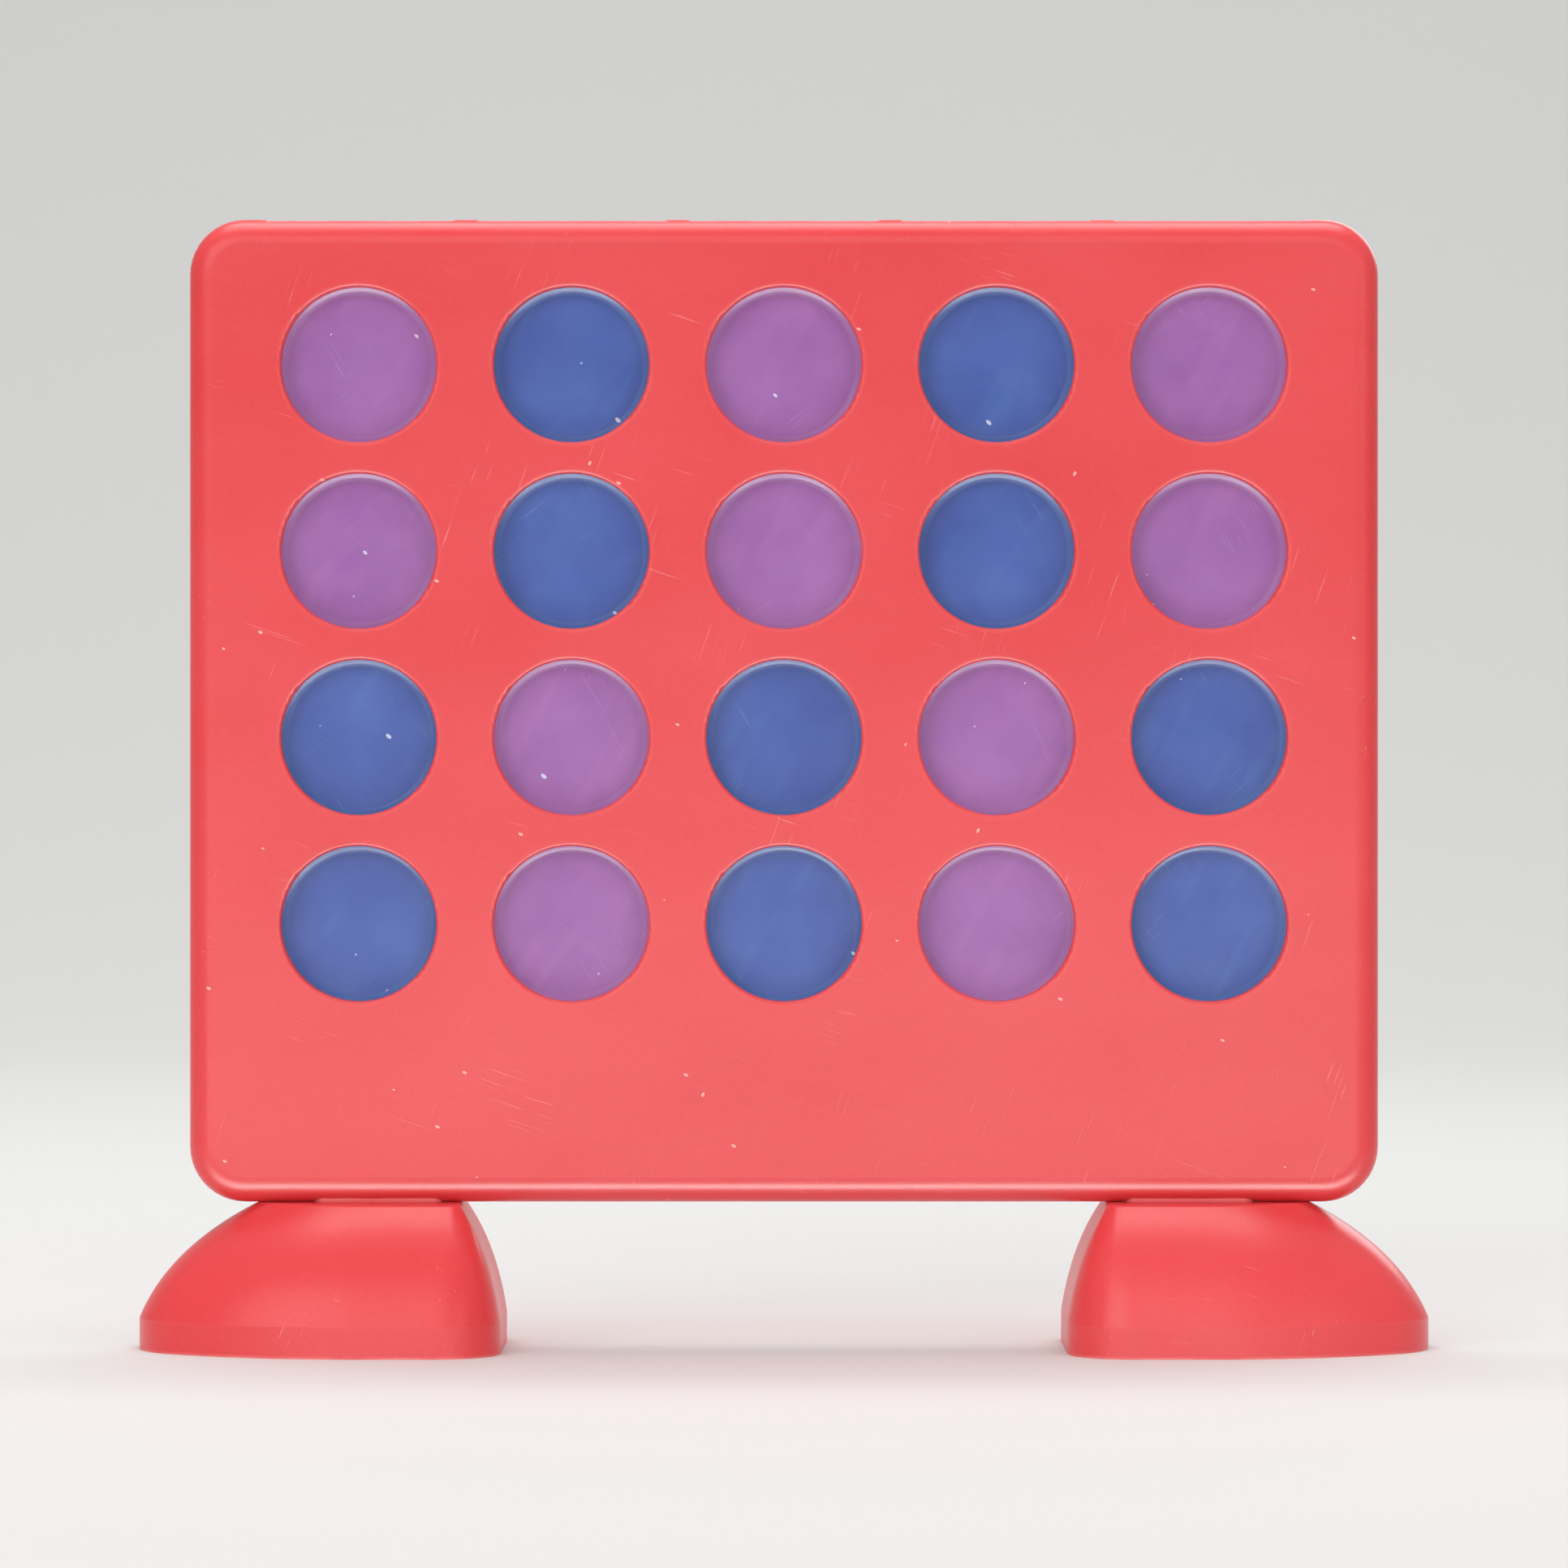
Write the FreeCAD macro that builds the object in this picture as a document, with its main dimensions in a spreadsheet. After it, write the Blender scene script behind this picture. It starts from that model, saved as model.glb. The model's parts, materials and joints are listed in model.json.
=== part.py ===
import FreeCAD, Part
import Sketcher
import math
import os

# Small travel four-in-a-row game, standing ready for play.
#
# Frame of reference: the origin is on the table, under the middle of the game. +X runs along the
# columns of windows, the front of the game faces -Y and +Z is up. Millimetres throughout.
#
# The upright frame is two shells from one mould, face to face on the plane y = 0. Each shell is a
# face plate with a row of ribs on its back, so that the pair makes five flat channels, open at the
# top, for the discs. Half of each plug-in tab is part of each shell. A hollow foot goes on each tab.

DIMENSIONS = (
    # name, value, what it is
    ("columns", 5, "columns of windows"),
    ("rows", 4, "rows of windows"),
    ("column_pitch", 20.25, "from one column to the next"),
    ("row_pitch", 17.75, "from one row to the next, and the height that a stacked disc takes"),
    ("bottom_row_height", 26.6, "middle of the lowest windows above the bottom edge of the frame"),
    ("window_diameter", 14.8, "window in the face plate"),
    ("window_edge_radius", 0.35, "rounding of a window's outer edge"),
    ("frame_width", 113.5, "upright frame along X"),
    ("frame_height", 93.8, "upright frame along Z, without its tabs"),
    ("frame_thickness", 6.0, "both shells together along Y"),
    ("corner_radius", 5.3, "corner of the frame's outline"),
    ("face_edge_radius", 2.4, "rounding round the face plate"),
    ("parting_chamfer", 0.15, "chamfer round the joint face, which leaves a fine groove between the shells"),
    ("face_wall", 1.5, "thickness of the face plate"),
    ("outer_wall", 2.4, "wall round the outline, inside the hollows"),
    ("channel_width", 18.0, "channel that a disc drops down"),
    ("ledge_height", 1.6, "rib under the channels that the lowest discs rest on"),
    ("strip_rib", 4.0, "rib between two hollows of the blank strip"),
    ("side_rib", 1.7, "rib between the outermost channel and the hollow beside it"),
    ("side_bridge", 4.25, "solid bridge between two side hollows, which holds a pin or socket"),
    ("pin_diameter", 2.0, "locating pin"),
    ("pin_length", 1.1, "locating pin past the parting plane"),
    ("socket_diameter", 2.1, "locating socket"),
    ("socket_depth", 1.3, "locating socket below the parting plane"),
    ("tab_offset", 38.7, "middle of a tab from the middle of the frame"),
    ("tab_width", 12.15, "tab along X"),
    ("tab_length", 7.45, "tab below the bottom edge of the frame"),
    ("tab_thickness", 3.72, "both halves of a tab together along Y"),
    ("tab_corner_radius", 1.3, "lower corner of a tab"),
    ("tab_edge_radius", 0.9, "rounding of a tab's lower edge"),
    ("disc_diameter", 17.7, "playing disc"),
    ("disc_thickness", 2.2, "playing disc over its raised rims"),
    ("disc_rim_width", 1.2, "raised rim, without the slope inside it"),
    ("disc_rim_height", 0.4, "raised rim above the disc's face"),
    ("disc_slope_width", 0.65, "slope from the rim down to the face"),
    ("disc_edge_radius", 0.4, "rounding of the rim's outer edge"),
    ("disc_slope_radius", 1.0, "rounding at the head and the foot of the slope"),
    ("foot_height", 14.0, "table to the flat top of a foot"),
    ("foot_skirt", 3.0, "upright wall round the bottom of a foot"),
    ("foot_wall", 1.6, "wall of a foot"),
    ("foot_shoulder_height", 9.6, "height of the foot's middle section"),
    ("foot_shoulder_share", 0.42, "how far the middle section has drawn in towards the top"),
    ("foot_edge_radius", 0.5, "rounding round the foot's flat top"),
    ("heel", 11.9, "slot's middle to the blunt end of a foot, at the table"),
    ("toe", 22.9, "slot's middle to the pointed end"),
    ("foot_width", 24.8, "foot along Y"),
    ("heel_corner_radius", 6.0, "corner of the blunt end"),
    ("flank_start", 1.1, "slot's middle to where the side begins to draw in"),
    ("toe_radius", 8.28, "rounding of the pointed end"),
    ("top_heel", 7.9, "slot's middle to the blunt end of the flat top"),
    ("top_toe", 11.5, "slot's middle to the pointed end of the flat top"),
    ("top_width", 12.4, "flat top along Y"),
    ("top_corner_radius", 1.3, "corner of the flat top's blunt end"),
    ("top_flank_start", 0.5, "slot's middle to where the flat top begins to draw in"),
    ("top_toe_radius", 3.2, "rounding of the flat top's pointed end"),
    ("roof_inset", 0.2, "how far the hollow's roof lies inside the outline of the flat top"),
    ("slot_length", 12.4, "slot for a tab, along X"),
    ("slot_width", 3.9, "slot for a tab, along Y"),
    ("socket_wall", 1.4, "wall of the box under the slot"),
    ("slot_depth", 9.0, "flat top to the lower end of the box under the slot"),
)

SHEET = "Dims"
START_OF_EDGE, END_OF_EDGE, CENTRE = 1, 2, 3
ORIGIN_POINT = (-1, 1)
X_AXIS, Y_AXIS = -1, -2
CLOSE = 1e-6


def sized(text):
    """Turns a plain formula such as '{frame_width} / 2' into one that reads the sheet."""
    return text.replace("{", SHEET + ".").replace("}", "")


def value_of(thing, text):
    return float(thing.evalExpression(sized(text)))


def make_sheet(doc):
    sheet = doc.addObject("Spreadsheet::Sheet", SHEET)
    for row, (name, value, meaning) in enumerate(DIMENSIONS, start=1):
        sheet.set(f"A{row}", meaning)
        sheet.set(f"B{row}", str(value))
        sheet.setAlias(f"B{row}", name)
    doc.recompute()
    return sheet


# ---------------------------------------------------------------------------- sketches


def origin_plane(body, role):
    return next(feature for feature in body.Origin.OriginFeatures if feature.Role == role)


def new_sketch(body, role, name, offset=None):
    """A sketch on one of the body's own origin planes, moved along its normal by offset."""
    sketch = body.newObject("Sketcher::SketchObject", name)
    sketch.AttachmentSupport = (origin_plane(body, role), [""])
    sketch.MapMode = "FlatFace"
    if offset is not None:
        sketch.setExpression("AttachmentOffset.Base.z", sized(offset))
    return sketch


def bind(sketch, kind, places, text):
    index = sketch.addConstraint(Sketcher.Constraint(kind, *places, value_of(sketch, text)))
    sketch.setExpression(f"Constraints[{index}]", sized(text))


def place_point(sketch, geometry, point, x, y):
    """Holds a point at two formulas; a zero holds it on the axis."""
    for kind, axis, text in (("DistanceX", Y_AXIS, x), ("DistanceY", X_AXIS, y)):
        if abs(value_of(sketch, text)) < CLOSE:
            sketch.addConstraint(Sketcher.Constraint("PointOnObject", geometry, point, axis))
        else:
            bind(sketch, kind, (*ORIGIN_POINT, geometry, point), text)


def add_circle(sketch, x, y, diameter):
    centre = FreeCAD.Vector(value_of(sketch, x), value_of(sketch, y), 0)
    circle = Part.Circle(centre, FreeCAD.Vector(0, 0, 1), value_of(sketch, diameter) / 2)
    index = sketch.addGeometry(circle)
    place_point(sketch, index, CENTRE, x, y)
    bind(sketch, "Diameter", (index,), diameter)


def add_rectangle(sketch, left, bottom, width, height):
    x_low, y_low = value_of(sketch, left), value_of(sketch, bottom)
    x_high, y_high = x_low + value_of(sketch, width), y_low + value_of(sketch, height)
    corners = [(x_low, y_low), (x_high, y_low), (x_high, y_high), (x_low, y_high)]
    first = sketch.GeometryCount
    for number, corner in enumerate(corners):
        following = corners[(number + 1) % 4]
        sketch.addGeometry(Part.LineSegment(FreeCAD.Vector(*corner), FreeCAD.Vector(*following)))
    for number in range(4):
        following = first + (number + 1) % 4
        joined = (first + number, END_OF_EDGE, following, START_OF_EDGE)
        sketch.addConstraint(Sketcher.Constraint("Coincident", *joined))
        direction = "Horizontal" if number % 2 == 0 else "Vertical"
        sketch.addConstraint(Sketcher.Constraint(direction, first + number))
    place_point(sketch, first, START_OF_EDGE, left, bottom)
    bind(sketch, "DistanceX", (first, START_OF_EDGE, first, END_OF_EDGE), width)
    bind(sketch, "DistanceY", (first + 1, START_OF_EDGE, first + 1, END_OF_EDGE), height)


def arc_between(centre, start, end):
    """The counter-clockwise arc about centre from start to end."""
    radius = math.dist(centre, start)
    angles = [math.atan2(point[1] - centre[1], point[0] - centre[0]) for point in (start, end)]
    circle = Part.Circle(FreeCAD.Vector(*centre), FreeCAD.Vector(0, 0, 1), radius)
    return Part.ArcOfCircle(circle, *angles)


def add_foot_outline(sketch, heel, toe, width, corner_radius, flank_start, toe_radius):
    """A blunt heel, straight sides, long arcs for the flanks and a round toe, all tangent.

    A flank's radius follows from the rest: it touches the straight side and the toe's circle.
    """
    back, front, half_width, corner, flank_x, nose = (
        value_of(sketch, text)
        for text in (heel, toe, f"({width}) / 2", corner_radius, flank_start, toe_radius)
    )
    nose_x = front - nose
    reach = nose_x - flank_x
    flank = (reach**2 + half_width**2 - nose**2) / (2 * (half_width - nose))
    share = nose / (flank - nose)
    touch = (nose_x + reach * share, (flank - half_width) * share)
    heel_half = half_width - corner
    corner_x = corner - back

    lower_heel, upper_heel = (-back, -heel_half), (-back, heel_half)
    lower_side, upper_side = (corner_x, -half_width), (corner_x, half_width)
    lower_flank, upper_flank = (flank_x, -half_width), (flank_x, half_width)
    lower_touch, upper_touch = (touch[0], -touch[1]), touch
    edges = (
        Part.LineSegment(FreeCAD.Vector(*upper_heel), FreeCAD.Vector(*lower_heel)),
        arc_between((corner_x, -heel_half), lower_heel, lower_side),
        Part.LineSegment(FreeCAD.Vector(*lower_side), FreeCAD.Vector(*lower_flank)),
        arc_between((flank_x, flank - half_width), lower_flank, lower_touch),
        arc_between((nose_x, 0), lower_touch, upper_touch),
        arc_between((flank_x, half_width - flank), upper_touch, upper_flank),
        Part.LineSegment(FreeCAD.Vector(*upper_flank), FreeCAD.Vector(*upper_side)),
        arc_between((corner_x, heel_half), upper_side, upper_heel),
    )
    for edge in edges:
        sketch.addGeometry(edge)
    (heel_line, lower_corner, lower_line, lower_arc,
     toe_arc, upper_arc, upper_line, upper_corner) = range(len(edges))
    for number in range(len(edges)):
        joined = (number, END_OF_EDGE, (number + 1) % len(edges), START_OF_EDGE)
        sketch.addConstraint(Sketcher.Constraint("Tangent", *joined))
    sketch.addConstraint(Sketcher.Constraint("Vertical", heel_line))
    sketch.addConstraint(Sketcher.Constraint("Equal", lower_corner, upper_corner))
    sketch.addConstraint(Sketcher.Constraint("Equal", lower_arc, upper_arc))
    sketch.addConstraint(Sketcher.Constraint("PointOnObject", toe_arc, CENTRE, X_AXIS))
    bind(sketch, "Radius", (lower_corner,), corner_radius)
    bind(sketch, "Radius", (toe_arc,), toe_radius)
    bind(sketch, "DistanceX", (*ORIGIN_POINT, toe_arc, CENTRE), f"{toe} - ({toe_radius})")
    bind(sketch, "DistanceX", (heel_line, END_OF_EDGE, *ORIGIN_POINT), heel)
    bind(sketch, "DistanceX", (*ORIGIN_POINT, lower_line, END_OF_EDGE), flank_start)
    bind(sketch, "DistanceY", (lower_line, END_OF_EDGE, *ORIGIN_POINT), f"({width}) / 2")
    bind(sketch, "DistanceY", (*ORIGIN_POINT, upper_line, START_OF_EDGE), f"({width}) / 2")


# ---------------------------------------------------------------------------- features


def pad(body, sketch, name, length, away=False):
    feature = body.newObject("PartDesign::Pad", name)
    feature.Profile = sketch
    feature.setExpression("Length", sized(length))
    feature.Reversed = away
    body.Document.recompute()
    return feature


def pocket(body, sketch, name, depth=None, away=False):
    """Cuts depth deep, or right through when depth is None, and makes sure that it cut something."""
    before = body.Shape.Volume
    feature = body.newObject("PartDesign::Pocket", name)
    feature.Profile = sketch
    feature.Reversed = away
    if depth is None:
        feature.Type = "ThroughAll"
    else:
        feature.setExpression("Length", sized(depth))
    body.Document.recompute()
    if body.Shape.Volume >= before - CLOSE:
        raise RuntimeError(f"{body.Label}: {name} removed nothing")
    return feature


def ease_edges(body, kind, name, size, wanted):
    """A Fillet or Chamfer on the edges of the body's present shape for which wanted(edge) is true."""
    base = body.Tip
    names = [f"Edge{i}" for i, edge in enumerate(base.Shape.Edges, start=1) if wanted(edge)]
    if not names:
        raise RuntimeError(f"{body.Label}: {name} found no edge")
    feature = body.newObject(f"PartDesign::{kind}", name)
    feature.Base = (base, names)
    feature.setExpression("Radius" if kind == "Fillet" else "Size", sized(size))
    body.Document.recompute()
    return feature


def fillet(body, name, radius, wanted):
    return ease_edges(body, "Fillet", name, radius, wanted)


def chamfer(body, name, size, wanted):
    return ease_edges(body, "Chamfer", name, size, wanted)


def middle(edge):
    low, high = edge.ParameterRange
    return edge.valueAt((low + high) / 2)


def runs_along(edge, axis):
    """Whether the edge is straight and parallel to the axis 'x', 'y' or 'z'."""
    return isinstance(edge.Curve, Part.Line) and abs(getattr(edge.tangentAt(0), axis)) > 1 - CLOSE


def is_circle(edge, radius):
    return isinstance(edge.Curve, Part.Circle) and abs(edge.Curve.Radius - radius) < CLOSE


def lies_at(edge, axis, level):
    """Whether the whole edge lies at one level of the axis 'x', 'y' or 'z'."""
    points = [edge.firstVertex().Point, middle(edge), edge.lastVertex().Point]
    return all(abs(getattr(point, axis) - level) < CLOSE for point in points)


def new_body(doc, name):
    body = doc.addObject("PartDesign::Body", name)
    body.Label = name
    return body


# ---------------------------------------------------------------------------- frame shells


def column_offset(sheet, column):
    """The middle of a column, counted from 0 at the left, as a formula."""
    return f"({column} - ({{columns}} - 1) / 2) * {{column_pitch}}"


def row_height(row):
    """The middle of a row, counted from 0 at the bottom, above the frame's bottom edge."""
    return f"({{bottom_row_height}} + {row} * {{row_pitch}})"


# The lowest disc clears the floor of its channel by as much as the next disc clears it.
CHANNEL_FLOOR = "({bottom_row_height} + {disc_diameter} / 2 - {row_pitch})"
SIDE_HOLLOW_LEFT = "({column_pitch} * ({columns} - 1) / 2 + {channel_width} / 2 + {side_rib})"
SIDE_HOLLOW_WIDTH = "({frame_width} / 2 - {outer_wall}) - " + SIDE_HOLLOW_LEFT
SIDE_HOLLOW_MIDDLE = f"({SIDE_HOLLOW_LEFT} + ({SIDE_HOLLOW_WIDTH}) / 2)"
STRIP_HEIGHT = f"({CHANNEL_FLOOR} - {{ledge_height}} - {{outer_wall}})"


def add_face_plate(body):
    outline = new_sketch(body, "XZ_Plane", "plate_outline")
    add_rectangle(outline, "-{frame_width} / 2", "0", "{frame_width}", "{frame_height}")
    pad(body, outline, "plate", "{frame_thickness} / 2")
    fillet(body, "plate_corners", "{corner_radius}", lambda edge: runs_along(edge, "y"))
    face = -value_of(body, "{frame_thickness} / 2")
    fillet(body, "plate_edge", "{face_edge_radius}", lambda edge: lies_at(edge, "y", face))
    chamfer(body, "parting_line", "{parting_chamfer}", lambda edge: lies_at(edge, "y", 0))


def add_tabs(body):
    """Half of each tab: it reaches up behind the rounded bottom edge of the plate."""
    outline = new_sketch(body, "XZ_Plane", "tab_outline")
    for side in (-1, 1):
        left = f"({side}) * {{tab_offset}} - {{tab_width}} / 2"
        add_rectangle(outline, left, "-{tab_length}", "{tab_width}", "{tab_length} + {face_edge_radius}")
    pad(body, outline, "tabs", "{tab_thickness} / 2")
    bottom = -value_of(body, "{tab_length}")
    fillet(
        body, "tab_corners", "{tab_corner_radius}",
        lambda edge: runs_along(edge, "y") and lies_at(edge, "z", bottom),
    )
    front = -value_of(body, "{tab_thickness} / 2")
    fillet(
        body, "tab_edges", "{tab_edge_radius}",
        lambda edge: runs_along(edge, "x") and lies_at(edge, "y", front) and lies_at(edge, "z", bottom),
    )


def add_hollows(body, sheet):
    """The channels for the discs, and the hollows that keep the walls even."""
    half_depth = "{frame_thickness} / 2 - {face_wall}"
    channels = new_sketch(body, "XZ_Plane", "channel_outlines")
    strip = new_sketch(body, "XZ_Plane", "strip_outlines")
    for column in range(int(sheet.columns)):
        offset = column_offset(sheet, column)
        left = f"{offset} - {{channel_width}} / 2"
        above_top = f"{{frame_height}} - {CHANNEL_FLOOR} + {{frame_thickness}}"
        add_rectangle(channels, left, CHANNEL_FLOOR, "{channel_width}", above_top)
        width = "({column_pitch} - {strip_rib})"
        add_rectangle(strip, f"{offset} - {width} / 2", "{outer_wall}", width, STRIP_HEIGHT)
    sides = new_sketch(body, "XZ_Plane", "side_outlines")
    for left in (SIDE_HOLLOW_LEFT, f"-{SIDE_HOLLOW_LEFT} - ({SIDE_HOLLOW_WIDTH})"):
        add_rectangle(sides, left, "{outer_wall}", SIDE_HOLLOW_WIDTH, STRIP_HEIGHT)
        for row in range(int(sheet.rows)):
            height = "({row_pitch} - {side_bridge})"
            add_rectangle(sides, left, f"{row_height(row)} - {height} / 2", SIDE_HOLLOW_WIDTH, height)
    for sketch, name in ((channels, "channels"), (strip, "strip_hollows"), (sides, "side_hollows")):
        pocket(body, sketch, name, half_depth, away=True)


def add_windows(body, sheet):
    outline = new_sketch(body, "XZ_Plane", "window_outlines")
    for column in range(int(sheet.columns)):
        for row in range(int(sheet.rows)):
            add_circle(outline, column_offset(sheet, column), row_height(row), "{window_diameter}")
    pocket(body, outline, "windows", away=True)
    face = -value_of(body, "{frame_thickness} / 2")
    radius = value_of(body, "{window_diameter} / 2")
    fillet(
        body, "window_edges", "{window_edge_radius}",
        lambda edge: is_circle(edge, radius) and lies_at(edge, "y", face),
    )


def add_pins_and_sockets(body):
    """Pins on the +X half and sockets on the -X half, so that two equal shells locate each other."""
    between_rows = (f"{row_height(0)} + {{row_pitch}} / 2", f"{row_height(2)} + {{row_pitch}} / 2")
    in_strip = f"{{outer_wall}} + {STRIP_HEIGHT} / 2"
    places = [(SIDE_HOLLOW_MIDDLE, height) for height in between_rows]
    places += [(f"{share} * {{column_pitch}}", in_strip) for share in (0.5, 1.5)]
    pins = new_sketch(body, "XZ_Plane", "pin_outlines")
    sockets = new_sketch(body, "XZ_Plane", "socket_outlines")
    for across, height in places:
        add_circle(pins, across, height, "{pin_diameter}")
        add_circle(sockets, f"-({across})", height, "{socket_diameter}")
    pad(body, pins, "pins", "{pin_length}", away=True)
    pocket(body, sockets, "sockets", "{socket_depth}", away=True)


def make_shell(doc, sheet, name, turned):
    """One shell of the frame; the turned one is the same moulding, half a turn about the Z axis."""
    body = new_body(doc, name)
    add_face_plate(body)
    add_tabs(body)
    add_hollows(body, sheet)
    add_windows(body, sheet)
    add_pins_and_sockets(body)
    body.Placement.Rotation = FreeCAD.Rotation(FreeCAD.Vector(0, 0, 1), 180 if turned else 0)
    body.setExpression("Placement.Base.z", sized("{foot_height}"))
    return body


# ---------------------------------------------------------------------------- feet

TABLE_OUTLINE = (
    "{heel}", "{toe}", "{foot_width}", "{heel_corner_radius}", "{flank_start}", "{toe_radius}",
)
TOP_OUTLINE = (
    "{top_heel}", "{top_toe}", "{top_width}", "{top_corner_radius}", "{top_flank_start}", "{top_toe_radius}",
)
SHOULDER_OUTLINE = tuple(
    f"({table} + ({top} - {table}) * {{foot_shoulder_share}})"
    for table, top in zip(TABLE_OUTLINE, TOP_OUTLINE)
)


def drawn_in(outline, wall):
    """The outline moved in by the wall, all round."""
    heel, toe, width, corner_radius, flank_start, toe_radius = outline
    return (
        f"({heel} - {wall})", f"({toe} - {wall})", f"({width} - 2 * {wall})",
        f"({corner_radius} - {wall})", flank_start, f"({toe_radius} - {wall})",
    )


def loft(body, kind, name, sections):
    feature = body.newObject(f"PartDesign::{kind}", name)
    feature.Profile = sections[0]
    feature.Sections = sections[1:]
    body.Document.recompute()
    return feature


def foot_sections(body, name, levels):
    """One closed outline for each (height, outline) pair."""
    sections = []
    for number, (height, outline) in enumerate(levels):
        sketch = new_sketch(body, "XY_Plane", f"{name}_{number}", height)
        add_foot_outline(sketch, *outline)
        sections.append(sketch)
    return sections


def make_foot(doc, name, side):
    """A hollow foot with its toe pointing outwards; side is -1 at the left and 1 at the right."""
    body = new_body(doc, name)
    table = new_sketch(body, "XY_Plane", "skirt_outline")
    add_foot_outline(table, *TABLE_OUTLINE)
    pad(body, table, "skirt", "{foot_skirt}")
    outside = (
        ("{foot_skirt}", TABLE_OUTLINE),
        ("{foot_shoulder_height}", SHOULDER_OUTLINE),
        ("{foot_height}", TOP_OUTLINE),
    )
    loft(body, "AdditiveLoft", "crown", foot_sections(body, "crown_section", outside))
    top = value_of(body, "{foot_height}")
    fillet(body, "top_edge", "{foot_edge_radius}", lambda edge: lies_at(edge, "z", top))

    hollow = new_sketch(body, "XY_Plane", "hollow_outline")
    add_foot_outline(hollow, *drawn_in(TABLE_OUTLINE, "{foot_wall}"))
    pocket(body, hollow, "skirt_hollow", "{foot_skirt}", away=True)
    inside = (
        ("{foot_skirt}", drawn_in(TABLE_OUTLINE, "{foot_wall}")),
        ("{foot_shoulder_height} - {foot_wall} / 2", drawn_in(SHOULDER_OUTLINE, "{foot_wall}")),
        ("{foot_height} - {foot_wall}", drawn_in(TOP_OUTLINE, "{roof_inset}")),
    )
    loft(body, "SubtractiveLoft", "crown_hollow", foot_sections(body, "hollow_section", inside))

    box = new_sketch(body, "XY_Plane", "socket_outline", "{foot_height} - {slot_depth}")
    length, width = "({slot_length} + 2 * {socket_wall})", "({slot_width} + 2 * {socket_wall})"
    add_rectangle(box, f"-{length} / 2", f"-{width} / 2", length, width)
    pad(body, box, "socket", "{slot_depth} - {foot_wall} / 2")
    slot = new_sketch(body, "XY_Plane", "slot_outline")
    add_rectangle(slot, "-{slot_length} / 2", "-{slot_width} / 2", "{slot_length}", "{slot_width}")
    pocket(body, slot, "slot", away=True)

    body.Placement.Rotation = FreeCAD.Rotation(FreeCAD.Vector(0, 0, 1), 0 if side > 0 else 180)
    body.setExpression("Placement.Base.x", sized(f"({side}) * {{tab_offset}}"))
    return body


# ---------------------------------------------------------------------------- discs


def disc_colour(column, row):
    """A drawn game: pairs of discs take turns up each column, so no four are ever in a row."""
    return ("blue", "purple")[(column + row // 2) % 2]


def disc_name(column, row):
    """Columns are lettered from the left and rows are numbered from the bottom."""
    return f"{disc_colour(column, row)}_disc_{'abcde'[column]}{row + 1}"


def make_disc(doc, sheet, column, row):
    """A disc with a raised rim that slopes down to the face, alike front and back, in its channel."""
    body = new_body(doc, disc_name(column, row))
    blank = new_sketch(body, "XZ_Plane", "blank_outline", "-{disc_thickness} / 2")
    add_circle(blank, "0", "0", "{disc_diameter}")
    pad(body, blank, "blank", "{disc_thickness}")
    radius = value_of(body, "{disc_diameter} / 2")
    fillet(body, "rim_edges", "{disc_edge_radius}", lambda edge: is_circle(edge, radius))
    for face, side in (("front", 1), ("back", -1)):
        recess = new_sketch(body, "XZ_Plane", f"{face}_recess_outline", f"({side}) * {{disc_thickness}} / 2")
        add_circle(recess, "0", "0", "{disc_diameter} - 2 * {disc_rim_width}")
        dish = pocket(body, recess, f"{face}_recess", "{disc_rim_height}", away=side < 0)
        dish.setExpression("TaperAngle", sized("-atan({disc_slope_width} / {disc_rim_height})"))
        doc.recompute()
    head = value_of(body, "{disc_diameter} / 2 - {disc_rim_width}")
    foot = head - value_of(body, "{disc_slope_width}")
    fillet(
        body, "slope_edges", "{disc_slope_radius}",
        lambda edge: is_circle(edge, head) or is_circle(edge, foot),
    )
    body.setExpression("Placement.Base.x", sized(column_offset(sheet, column)))
    body.setExpression("Placement.Base.z", sized("{foot_height} + " + row_height(row)))
    return body


# ---------------------------------------------------------------------------- the whole game


def check(doc, parts):
    for thing in doc.Objects:
        if "Invalid" in thing.State or "Error" in thing.State:
            raise RuntimeError(f"{thing.Label} is {thing.State}")
    for part in parts:
        if part.Shape.isNull() or not part.Shape.isValid() or len(part.Shape.Solids) != 1:
            raise RuntimeError(f"{part.Label} is not one sound solid")


def main():
    doc = FreeCAD.newDocument("four_in_a_row")
    sheet = make_sheet(doc)
    parts = [
        make_shell(doc, sheet, "front_shell", turned=False),
        make_shell(doc, sheet, "rear_shell", turned=True),
        make_foot(doc, "left_foot", -1),
        make_foot(doc, "right_foot", 1),
    ]
    for column in range(int(sheet.columns)):
        for row in range(int(sheet.rows)):
            parts.append(make_disc(doc, sheet, column, row))
    doc.recompute()
    check(doc, parts)
    os.makedirs("parts", exist_ok=True)
    for part in parts:
        part.Shape.exportStep(f"parts/{part.Label}.step")
        box = part.Shape.BoundBox
        size = " x ".join(f"{length:.2f}" for length in (box.XLength, box.YLength, box.ZLength))
        print(f"{part.Label}: {size} mm, {part.Shape.Volume:.0f} mm3")


main()
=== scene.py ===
import json
import math

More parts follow.
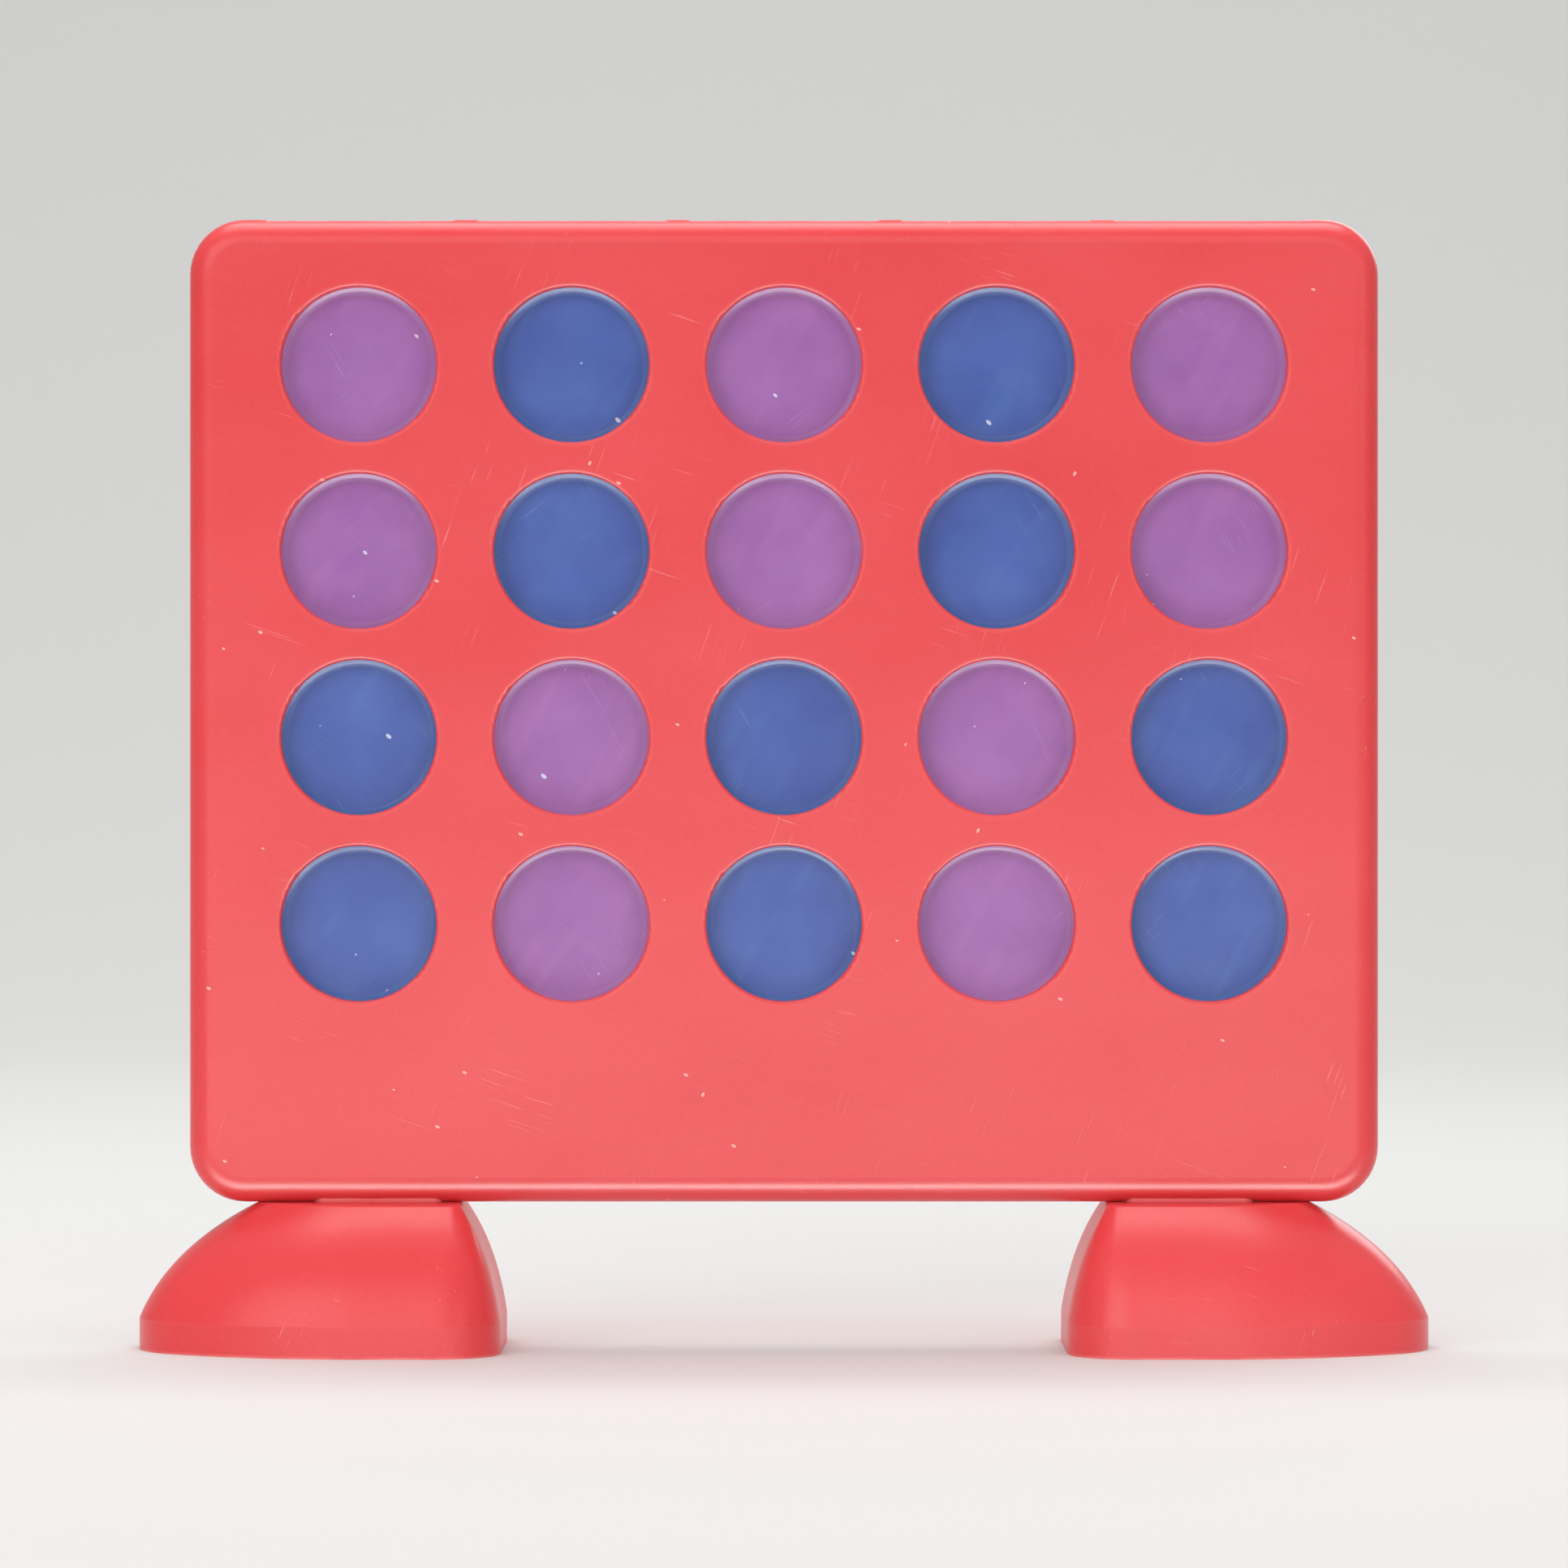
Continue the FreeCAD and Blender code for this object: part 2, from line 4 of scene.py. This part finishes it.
import bpy
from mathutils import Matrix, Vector


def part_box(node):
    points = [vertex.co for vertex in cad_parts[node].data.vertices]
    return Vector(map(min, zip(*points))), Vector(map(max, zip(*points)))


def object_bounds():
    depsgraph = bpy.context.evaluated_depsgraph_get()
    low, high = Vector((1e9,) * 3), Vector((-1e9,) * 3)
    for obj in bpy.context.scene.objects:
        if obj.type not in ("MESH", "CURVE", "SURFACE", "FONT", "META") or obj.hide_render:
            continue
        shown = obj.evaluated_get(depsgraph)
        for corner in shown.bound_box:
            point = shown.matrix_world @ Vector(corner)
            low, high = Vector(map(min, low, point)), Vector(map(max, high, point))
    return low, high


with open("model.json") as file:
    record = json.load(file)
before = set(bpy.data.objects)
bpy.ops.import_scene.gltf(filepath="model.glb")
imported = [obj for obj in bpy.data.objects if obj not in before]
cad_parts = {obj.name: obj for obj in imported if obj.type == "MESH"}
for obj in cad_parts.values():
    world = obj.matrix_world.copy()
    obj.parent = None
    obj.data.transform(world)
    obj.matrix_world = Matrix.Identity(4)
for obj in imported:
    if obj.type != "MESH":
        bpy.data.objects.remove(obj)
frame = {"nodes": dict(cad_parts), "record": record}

CAD_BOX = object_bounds()
CENTRE = (Vector(CAD_BOX[0]) + Vector(CAD_BOX[1])) / 2
MM = 0.001
WHITE, WARM, COOL = (1.0, 1.0, 1.0), (1.0, 0.985, 0.96), (0.96, 0.98, 1.0)
DISCS = sorted(name for name in frame["nodes"] if "_disc_" in name)


# ---------------------------------------------------------------------------- node helpers


class Graph:
    """A material's node tree, with one short call for each kind of node."""

    def __init__(self, name):
        self.material = bpy.data.materials.new(name)
        self.material.use_nodes = True
        self.tree = self.material.node_tree
        self.tree.nodes.clear()

    def node(self, kind, inputs=None, **settings):
        node = self.tree.nodes.new(kind)
        for key, value in settings.items():
            setattr(node, key, value)
        for key, value in (inputs or {}).items():
            self.feed(node.inputs[key], value)
        return node

    def feed(self, socket, value):
        """A value may be a plain number or colour, or another node's output."""
        if isinstance(value, bpy.types.NodeSocket):
            self.tree.links.new(value, socket)
        else:
            socket.default_value = value

    def math(self, operation, first, second=0.0, clamp=False):
        node = self.node("ShaderNodeMath", operation=operation, use_clamp=clamp)
        self.feed(node.inputs[0], first)
        self.feed(node.inputs[1], second)
        return node.outputs[0]

    def place(self, stretch=(1.0, 1.0, 1.0), turn=0.0):
        """Coordinates in metres, for a pattern drawn out by stretch along axes turned about Y."""
        source = self.node("ShaderNodeTexCoord").outputs["Object"]
        inputs = {"Vector": source, "Rotation": (0.0, turn, 0.0), "Scale": stretch}
        return self.node("ShaderNodeMapping", inputs, vector_type="TEXTURE").outputs[0]

    def noise(self, scale, detail=3.0, place=None):
        """A cloudy pattern, mostly between 0.3 and 0.7, with about scale features to a metre."""
        inputs = {"Scale": scale, "Detail": detail, "Roughness": 0.5}
        inputs["Vector"] = self.place() if place is None else place
        return self.node("ShaderNodeTexNoise", inputs).outputs["Fac"]

    def ramp(self, value, low, high):
        """0 at low, 1 at high and even between them; low may be the larger of the two."""
        inputs = {"Value": value, "From Min": low, "From Max": high}
        return self.node("ShaderNodeMapRange", inputs, clamp=True).outputs[0]

    def mix(self, share, first, second):
        node = self.node("ShaderNodeMix", data_type="RGBA")
        self.feed(node.inputs["Factor"], share)
        self.feed(node.inputs["A"], first)
        self.feed(node.inputs["B"], second)
        return node.outputs["Result"]

    def paint(self, tone, mask, share, colour):
        """A tone with a colour over it where a mask is 1, covering it by a share."""
        return self.mix(self.math("MULTIPLY", mask, share), tone, colour)

    def specks(self, scale, turn, share, radius):
        """Grains in a share of a pattern's cells, each up to radius, in widths of a cell."""
        inputs = {"Vector": self.place((1.0, 1.0, 1.8), turn), "Scale": scale}
        cells = self.node("ShaderNodeTexVoronoi", inputs)
        chance = self.node("ShaderNodeSeparateColor", {"Color": cells.outputs["Color"]})
        chosen = self.math("LESS_THAN", chance.outputs["Red"], share)
        reach = self.math("MULTIPLY", chance.outputs["Green"], radius)
        inside = self.math("LESS_THAN", cells.outputs["Distance"], reach)
        return self.math("MULTIPLY", chosen, inside)

    def from_disc_axis(self):
        """A point's distance in metres from the nearest disc's axis, in their regular grid."""
        boxes = [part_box(name) for name in DISCS]
        columns, rows = {name[-2] for name in DISCS}, {name[-1] for name in DISCS}
        spot = self.node("ShaderNodeSeparateXYZ", {"Vector": self.place()})
        squares = []
        for axis, letter, count in ((0, "X", len(columns)), (2, "Z", len(rows))):
            middles = [(low[axis] + high[axis]) / 2 for low, high in boxes]
            first, last = min(middles), max(middles)
            half_pitch = (last - first) / (count - 1) / 2
            wrapped = self.node("ShaderNodeMath", operation="WRAP")
            self.feed(wrapped.inputs[0], self.math("SUBTRACT", spot.outputs[letter], first))
            self.feed(wrapped.inputs[1], half_pitch)
            self.feed(wrapped.inputs[2], -half_pitch)
            squares.append(self.math("POWER", self.math("ABSOLUTE", wrapped.outputs[0]), 2.0))
        return self.math("SQRT", self.math("ADD", *squares))

    def bump(self, height, distance, below=None):
        """A relief of so many metres, on top of the relief below it."""
        inputs = {"Height": height, "Distance": distance, "Strength": 1.0}
        if below is not None:
            inputs["Normal"] = below
        return self.node("ShaderNodeBump", inputs).outputs[0]


def edge_mask(graph, radius):
    """1 on sharp edges and 0 on open faces, from how far a bevelled normal leans."""
    bevelled = graph.node("ShaderNodeBevel", {"Radius": radius}, samples=6).outputs[0]
    plain = graph.node("ShaderNodeNewGeometry").outputs["Normal"]
    facing = graph.node("ShaderNodeVectorMath", operation="DOT_PRODUCT")
    graph.feed(facing.inputs[0], bevelled)
    graph.feed(facing.inputs[1], plain)
    return graph.ramp(facing.outputs["Value"], 0.995, 0.86)


def scratches(graph, turns, rarity):
    """Hair-fine scuffs in scattered patches, one family of lines for each turn about Y."""
    total = None
    for turn in turns:
        streak = graph.noise(5200.0, 1.0, graph.place((1.0, 1.0, 30.0), turn))
        patch = graph.noise(110.0, 2.0, graph.place(turn=turn + 1.0))
        line = graph.ramp(streak, rarity, rarity + 0.05)
        line = graph.math("MULTIPLY", line, graph.ramp(patch, 0.55, 0.68))
        total = line if total is None else graph.math("MAXIMUM", total, line)
    return total


def srgb(red, green, blue):
    """A colour as the eye reads it, 0 to 255, in the linear values that a shader takes."""
    def linear(value):
        share = value / 255
        return share / 12.92 if share <= 0.04045 else ((share + 0.055) / 1.055) ** 2.4
    return (linear(red), linear(green), linear(blue), 1.0)


# ---------------------------------------------------------------------------- materials


RED_DEEP, RED_LIGHT, RED_GRAIN = srgb(222, 58, 63), srgb(226, 67, 72), srgb(238, 96, 88)
# RED_WEAR_AND_HIGHLIGHT is a paler pink for the edges: partly wear, partly a painted highlight on
# the rounded edges.
RED_WEAR_AND_HIGHLIGHT, RED_SCUFF, RED_DUST = srgb(246, 146, 140), srgb(255, 190, 180), srgb(250, 214, 208)
# Disc colours: deep and face are the plastic's own tones; rim is painted paler for light coming
# through the thicker translucent edge; line is a painted highlight colour, also used for scuffs and
# edge wear.
BLUE = {
    "deep": srgb(52, 82, 166), "face": srgb(68, 100, 180),
    "rim": srgb(82, 128, 192), "line": srgb(146, 176, 224),
}
PURPLE = {
    "deep": srgb(153, 92, 169), "face": srgb(167, 108, 181),
    "rim": srgb(188, 126, 189), "line": srgb(216, 172, 218),
}
DISC_DUST = srgb(222, 228, 244)
PAPER = srgb(219, 219, 218)


def red_plastic():
    """Semi-gloss moulded plastic, with faint flow marks, handling scuffs and paler edges, which are
    partly wear and partly a painted highlight.
    """
    g = Graph("red_plastic")
    flow = g.noise(28.0, 3.0, g.place((1.0, 1.0, 0.5)))
    pigment = g.noise(2400.0, 2.0)
    tone = g.mix(g.ramp(flow, 0.35, 0.65), RED_DEEP, RED_LIGHT)
    tone = g.paint(tone, g.ramp(pigment, 0.4, 0.75), 0.12, RED_GRAIN)
    # Paler edges: partly handling wear, partly a painted highlight where rounded edges, such as the
    # windows' rims, catch the light.
    edge_wear_and_highlight = g.math("MULTIPLY", edge_mask(g, 0.6 * MM), g.ramp(g.noise(260.0, 4.0), 0.22, 0.52))
    tone = g.paint(tone, edge_wear_and_highlight, 0.60, RED_WEAR_AND_HIGHLIGHT)
    scuffs = scratches(g, (0.35, 1.9), 0.70)
    tone = g.paint(tone, scuffs, 0.22, RED_SCUFF)
    dust = g.math("MAXIMUM", g.specks(420.0, 0.4, 0.06, 0.075), g.specks(700.0, 2.0, 0.07, 0.10))
    tone = g.paint(tone, dust, 0.55, RED_DUST)

    smear = g.ramp(g.noise(55.0, 5.0, g.place((1.0, 1.0, 1.6), 0.5)), 0.3, 0.7)
    roughness = g.math("ADD", 0.27, g.math("MULTIPLY", smear, 0.08))
    roughness = g.math("ADD", roughness, g.math("MULTIPLY", edge_wear_and_highlight, 0.12))
    marks = g.math("MAXIMUM", scuffs, dust)
    roughness = g.math("ADD", roughness, g.math("MULTIPLY", marks, 0.3), clamp=True)

    sinks = g.bump(g.noise(30.0, 1.0), 0.25 * MM)
    peel = g.bump(g.noise(1300.0, 2.0), 0.010 * MM, below=sinks)
    normal = g.bump(g.math("SUBTRACT", 1.0, scuffs), 0.01 * MM, below=peel)
    shader = g.node("ShaderNodeBsdfPrincipled", {
        "Base Color": tone, "Roughness": roughness, "Normal": normal, "IOR": 1.49,
        "Subsurface Weight": 0.12, "Subsurface Radius": (1.0, 0.22, 0.18),
        "Subsurface Scale": 0.8 * MM,
    })
    g.node("ShaderNodeOutputMaterial", {"Surface": shader.outputs[0]})
    return g.material


def disc_plastic(name, deep, face, rim, line):
    """Waxy, slightly see-through plastic: a rim painted paler for light coming through its thicker
    edge, a painted highlight ring, paler edges that are partly wear and partly painted highlight,
    soft smears and a few specks of dust.
    """
    g = Graph(name)
    low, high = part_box(DISCS[0])
    reach = (high[0] - low[0]) / 2
    spot = g.math("DIVIDE", g.from_disc_axis(), reach)
    tone = g.mix(g.ramp(g.noise(120.0, 4.0), 0.3, 0.7), deep, face)
    smear = g.ramp(g.noise(420.0, 2.0, g.place((1.0, 1.0, 5.0), 0.5)), 0.55, 0.8)
    tone = g.paint(tone, smear, 0.25, rim)
    # The outer band painted paler: a painted glow for light coming through the thicker translucent
    # rim.
    tone = g.paint(tone, g.ramp(spot, 0.76, 0.88), 0.75, rim)
    # A painted highlight: a thin bright ring where the rim's inner slope catches the light.
    bright = g.math("MULTIPLY", g.ramp(spot, 0.82, 0.86), g.ramp(spot, 0.91, 0.87))
    bright = g.math("MULTIPLY", bright, g.ramp(g.noise(300.0, 3.0), 0.4, 0.65))
    # Paler edges: partly wear, partly a painted highlight, joined with the painted highlight ring
    # above.
    edge_wear_and_highlight = g.math("MULTIPLY", edge_mask(g, 0.3 * MM), g.ramp(g.noise(420.0, 4.0), 0.3, 0.6))
    tone = g.paint(tone, g.math("MAXIMUM", edge_wear_and_highlight, bright), 0.55, line)
    scuffs = scratches(g, (0.9, 2.6), 0.68)
    tone = g.paint(tone, scuffs, 0.22, line)
    dust = g.math("MAXIMUM", g.specks(900.0, 0.7, 0.12, 0.16), g.specks(430.0, 2.3, 0.14, 0.11))
    tone = g.paint(tone, dust, 0.8, DISC_DUST)

    cloud = g.ramp(g.noise(160.0, 5.0), 0.3, 0.7)
    roughness = g.math("ADD", 0.30, g.math("MULTIPLY", cloud, 0.14))
    roughness = g.math("ADD", roughness, g.math("MULTIPLY", scuffs, 0.2), clamp=True)

    waxy = g.bump(g.noise(95.0, 2.0), 0.12 * MM)
    grain = g.bump(g.noise(1700.0, 2.0), 0.012 * MM, below=waxy)
    marks = g.math("MAXIMUM", dust, g.math("MULTIPLY", scuffs, -0.3))
    normal = g.bump(marks, 0.03 * MM, below=grain)
    shader = g.node("ShaderNodeBsdfPrincipled", {
        "Base Color": tone, "Roughness": roughness, "Normal": normal, "IOR": 1.5,
        "Subsurface Weight": 0.6, "Subsurface Radius": (1.0, 0.9, 1.1),
        "Subsurface Scale": 1.2 * MM,
    })
    g.node("ShaderNodeOutputMaterial", {"Surface": shader.outputs[0]})
    return g.material


def matte(name, colour):
    """Rough paper with a fine grain."""
    g = Graph(name)
    grain = g.noise(900.0, 3.0)
    shader = g.node("ShaderNodeBsdfPrincipled", {
        "Base Color": colour, "Roughness": 0.85, "Normal": g.bump(grain, 0.02 * MM),
    })
    g.node("ShaderNodeOutputMaterial", {"Surface": shader.outputs[0]})
    return g.material


def dress_cad_nodes():
    """Every CAD node gets the material of the slot that its record names."""
    materials = {
        "red_plastic": red_plastic(),
        "blue_plastic": disc_plastic("blue_plastic", **BLUE),
        "purple_plastic": disc_plastic("purple_plastic", **PURPLE),
    }
    slots = {part["node"]: part["material_slot"] for part in frame["record"]["subparts"]}
    for name, node in frame["nodes"].items():
        node.data.materials.clear()
        node.data.materials.append(materials[slots[name]])


# ---------------------------------------------------------------------------- stage, light, camera


WALL = 1.8  # how far the wall stands behind the object, in metres


def backdrop():
    """A pale floor that curves up into a pale wall well behind the object."""
    half_width, front, height, bend = 12.0, -12.0, 3.0, 1.2
    profile = [(front, 0.0)]
    steps = 24
    for step in range(steps + 1):
        angle = math.pi / 2 * step / steps
        profile.append((WALL - bend + bend * math.sin(angle), bend - bend * math.cos(angle)))
    profile.append((WALL, height))
    points = [(x, y, z) for y, z in profile for x in (-half_width, half_width)]
    faces = [(2 * i, 2 * i + 1, 2 * i + 3, 2 * i + 2) for i in range(len(profile) - 1)]
    mesh = bpy.data.meshes.new("backdrop")
    mesh.from_pydata(points, [], faces)
    mesh.polygons.foreach_set("use_smooth", [True] * len(faces))
    mesh.materials.append(matte("pale_paper", PAPER))
    floor = bpy.data.objects.new("backdrop", mesh)
    bpy.context.scene.collection.objects.link(floor)


def area_light(name, place, size, watts, colour=WHITE, target=CENTRE, receivers=None):
    """A rectangular lamp that faces its target; receivers are the only objects it lights."""
    light = bpy.data.lights.new(name, "AREA")
    light.shape = "RECTANGLE"
    light.size, light.size_y = size
    light.energy = watts
    light.color = colour
    lamp = bpy.data.objects.new(name, light)
    lamp.location = place
    lamp.rotation_euler = (Vector(target) - Vector(place)).to_track_quat("-Z", "Y").to_euler()
    lamp.visible_camera = False
    lamp.light_linking.receiver_collection = receivers
    bpy.context.scene.collection.objects.link(lamp)
    return lamp


def studio_world(horizon, zenith):
    """Soft light from all round, brighter overhead, at the horizon as bright as the far floor."""
    world = bpy.data.worlds.new("studio")
    world.use_nodes = True
    nodes, links = world.node_tree.nodes, world.node_tree.links
    direction = nodes.new("ShaderNodeSeparateXYZ")
    links.new(nodes.new("ShaderNodeTexCoord").outputs["Generated"], direction.inputs[0])
    strength = nodes.new("ShaderNodeMapRange")
    strength.inputs["To Min"].default_value = horizon
    strength.inputs["To Max"].default_value = zenith
    links.new(direction.outputs["Z"], strength.inputs["Value"])
    nodes["Background"].inputs["Color"].default_value = (*WHITE, 1.0)
    links.new(strength.outputs[0], nodes["Background"].inputs["Strength"])
    bpy.context.scene.world = world


def collection_of(name, nodes):
    """Some of the CAD nodes, for a lamp that lights only them or is blocked only by them."""
    collection = bpy.data.collections.new(name)
    for node in nodes:
        collection.objects.link(frame["nodes"][node])
    return collection


def light_scene():
    """Large soft lamps in front, above and behind; three of them light only the game."""
    studio_world(horizon=0.29, zenith=0.55)
    game = collection_of("game", frame["nodes"])
    shells = collection_of("shells", ("front_shell", "rear_shell"))
    feet, bottom_edge = (-0.04, 0.0, 0.018), (0.0, -0.003, 0.0156)
    area_light("key", (-1.00, -1.60, 0.846), (1.20, 1.00), 9.0, WARM)
    area_light("fill", (1.50, -1.60, 0.546), (1.20, 1.00), 3.8, COOL)
    area_light("overhead", (0.0, 0.05, 0.90), (0.80, 0.60), 5.6)
    area_light("sheen", (0.06, -1.60, 0.786), (1.10, 0.84), 3.8)
    area_light("low", (-0.04, -0.30, 0.018), (0.42, 0.034), 0.20, WHITE, feet, game)
    area_light("back", (0.40, 0.85, 0.50), (0.60, 0.50), 2.2, receivers=game)
    # Below the floor, which doesn't block it: a bright line on the bottom edge and the discs' rims.
    gleam = area_light("gleam", (0.0, -0.22, -0.19), (0.60, 0.09), 3.0, WHITE, bottom_edge, game)
    gleam.light_linking.blocker_collection = shells
    gleam.visible_diffuse = False
    area_light("wall", (0.0, 0.50, 1.60), (1.60, 0.60), 6.8, target=(0.0, WALL, 0.4))


def place_camera():
    """Straight on to the front; field_width is what the picture spans at the object."""
    distance, field_width, sensor = 0.575, 0.150, 36.0
    camera = bpy.data.cameras.new("camera")
    camera.sensor_width = sensor
    camera.lens = sensor * distance / field_width
    camera.clip_start, camera.clip_end = 0.01, 20.0
    seat = bpy.data.objects.new("camera", camera)
    seat.location = (CENTRE.x, CENTRE.y - distance, CENTRE.z)
    seat.rotation_euler = (math.pi / 2, 0.0, 0.0)
    bpy.context.scene.collection.objects.link(seat)
    bpy.context.scene.camera = seat


dress_cad_nodes()
backdrop()
light_scene()
place_camera()
bpy.context.scene.view_settings.view_transform = "Standard"
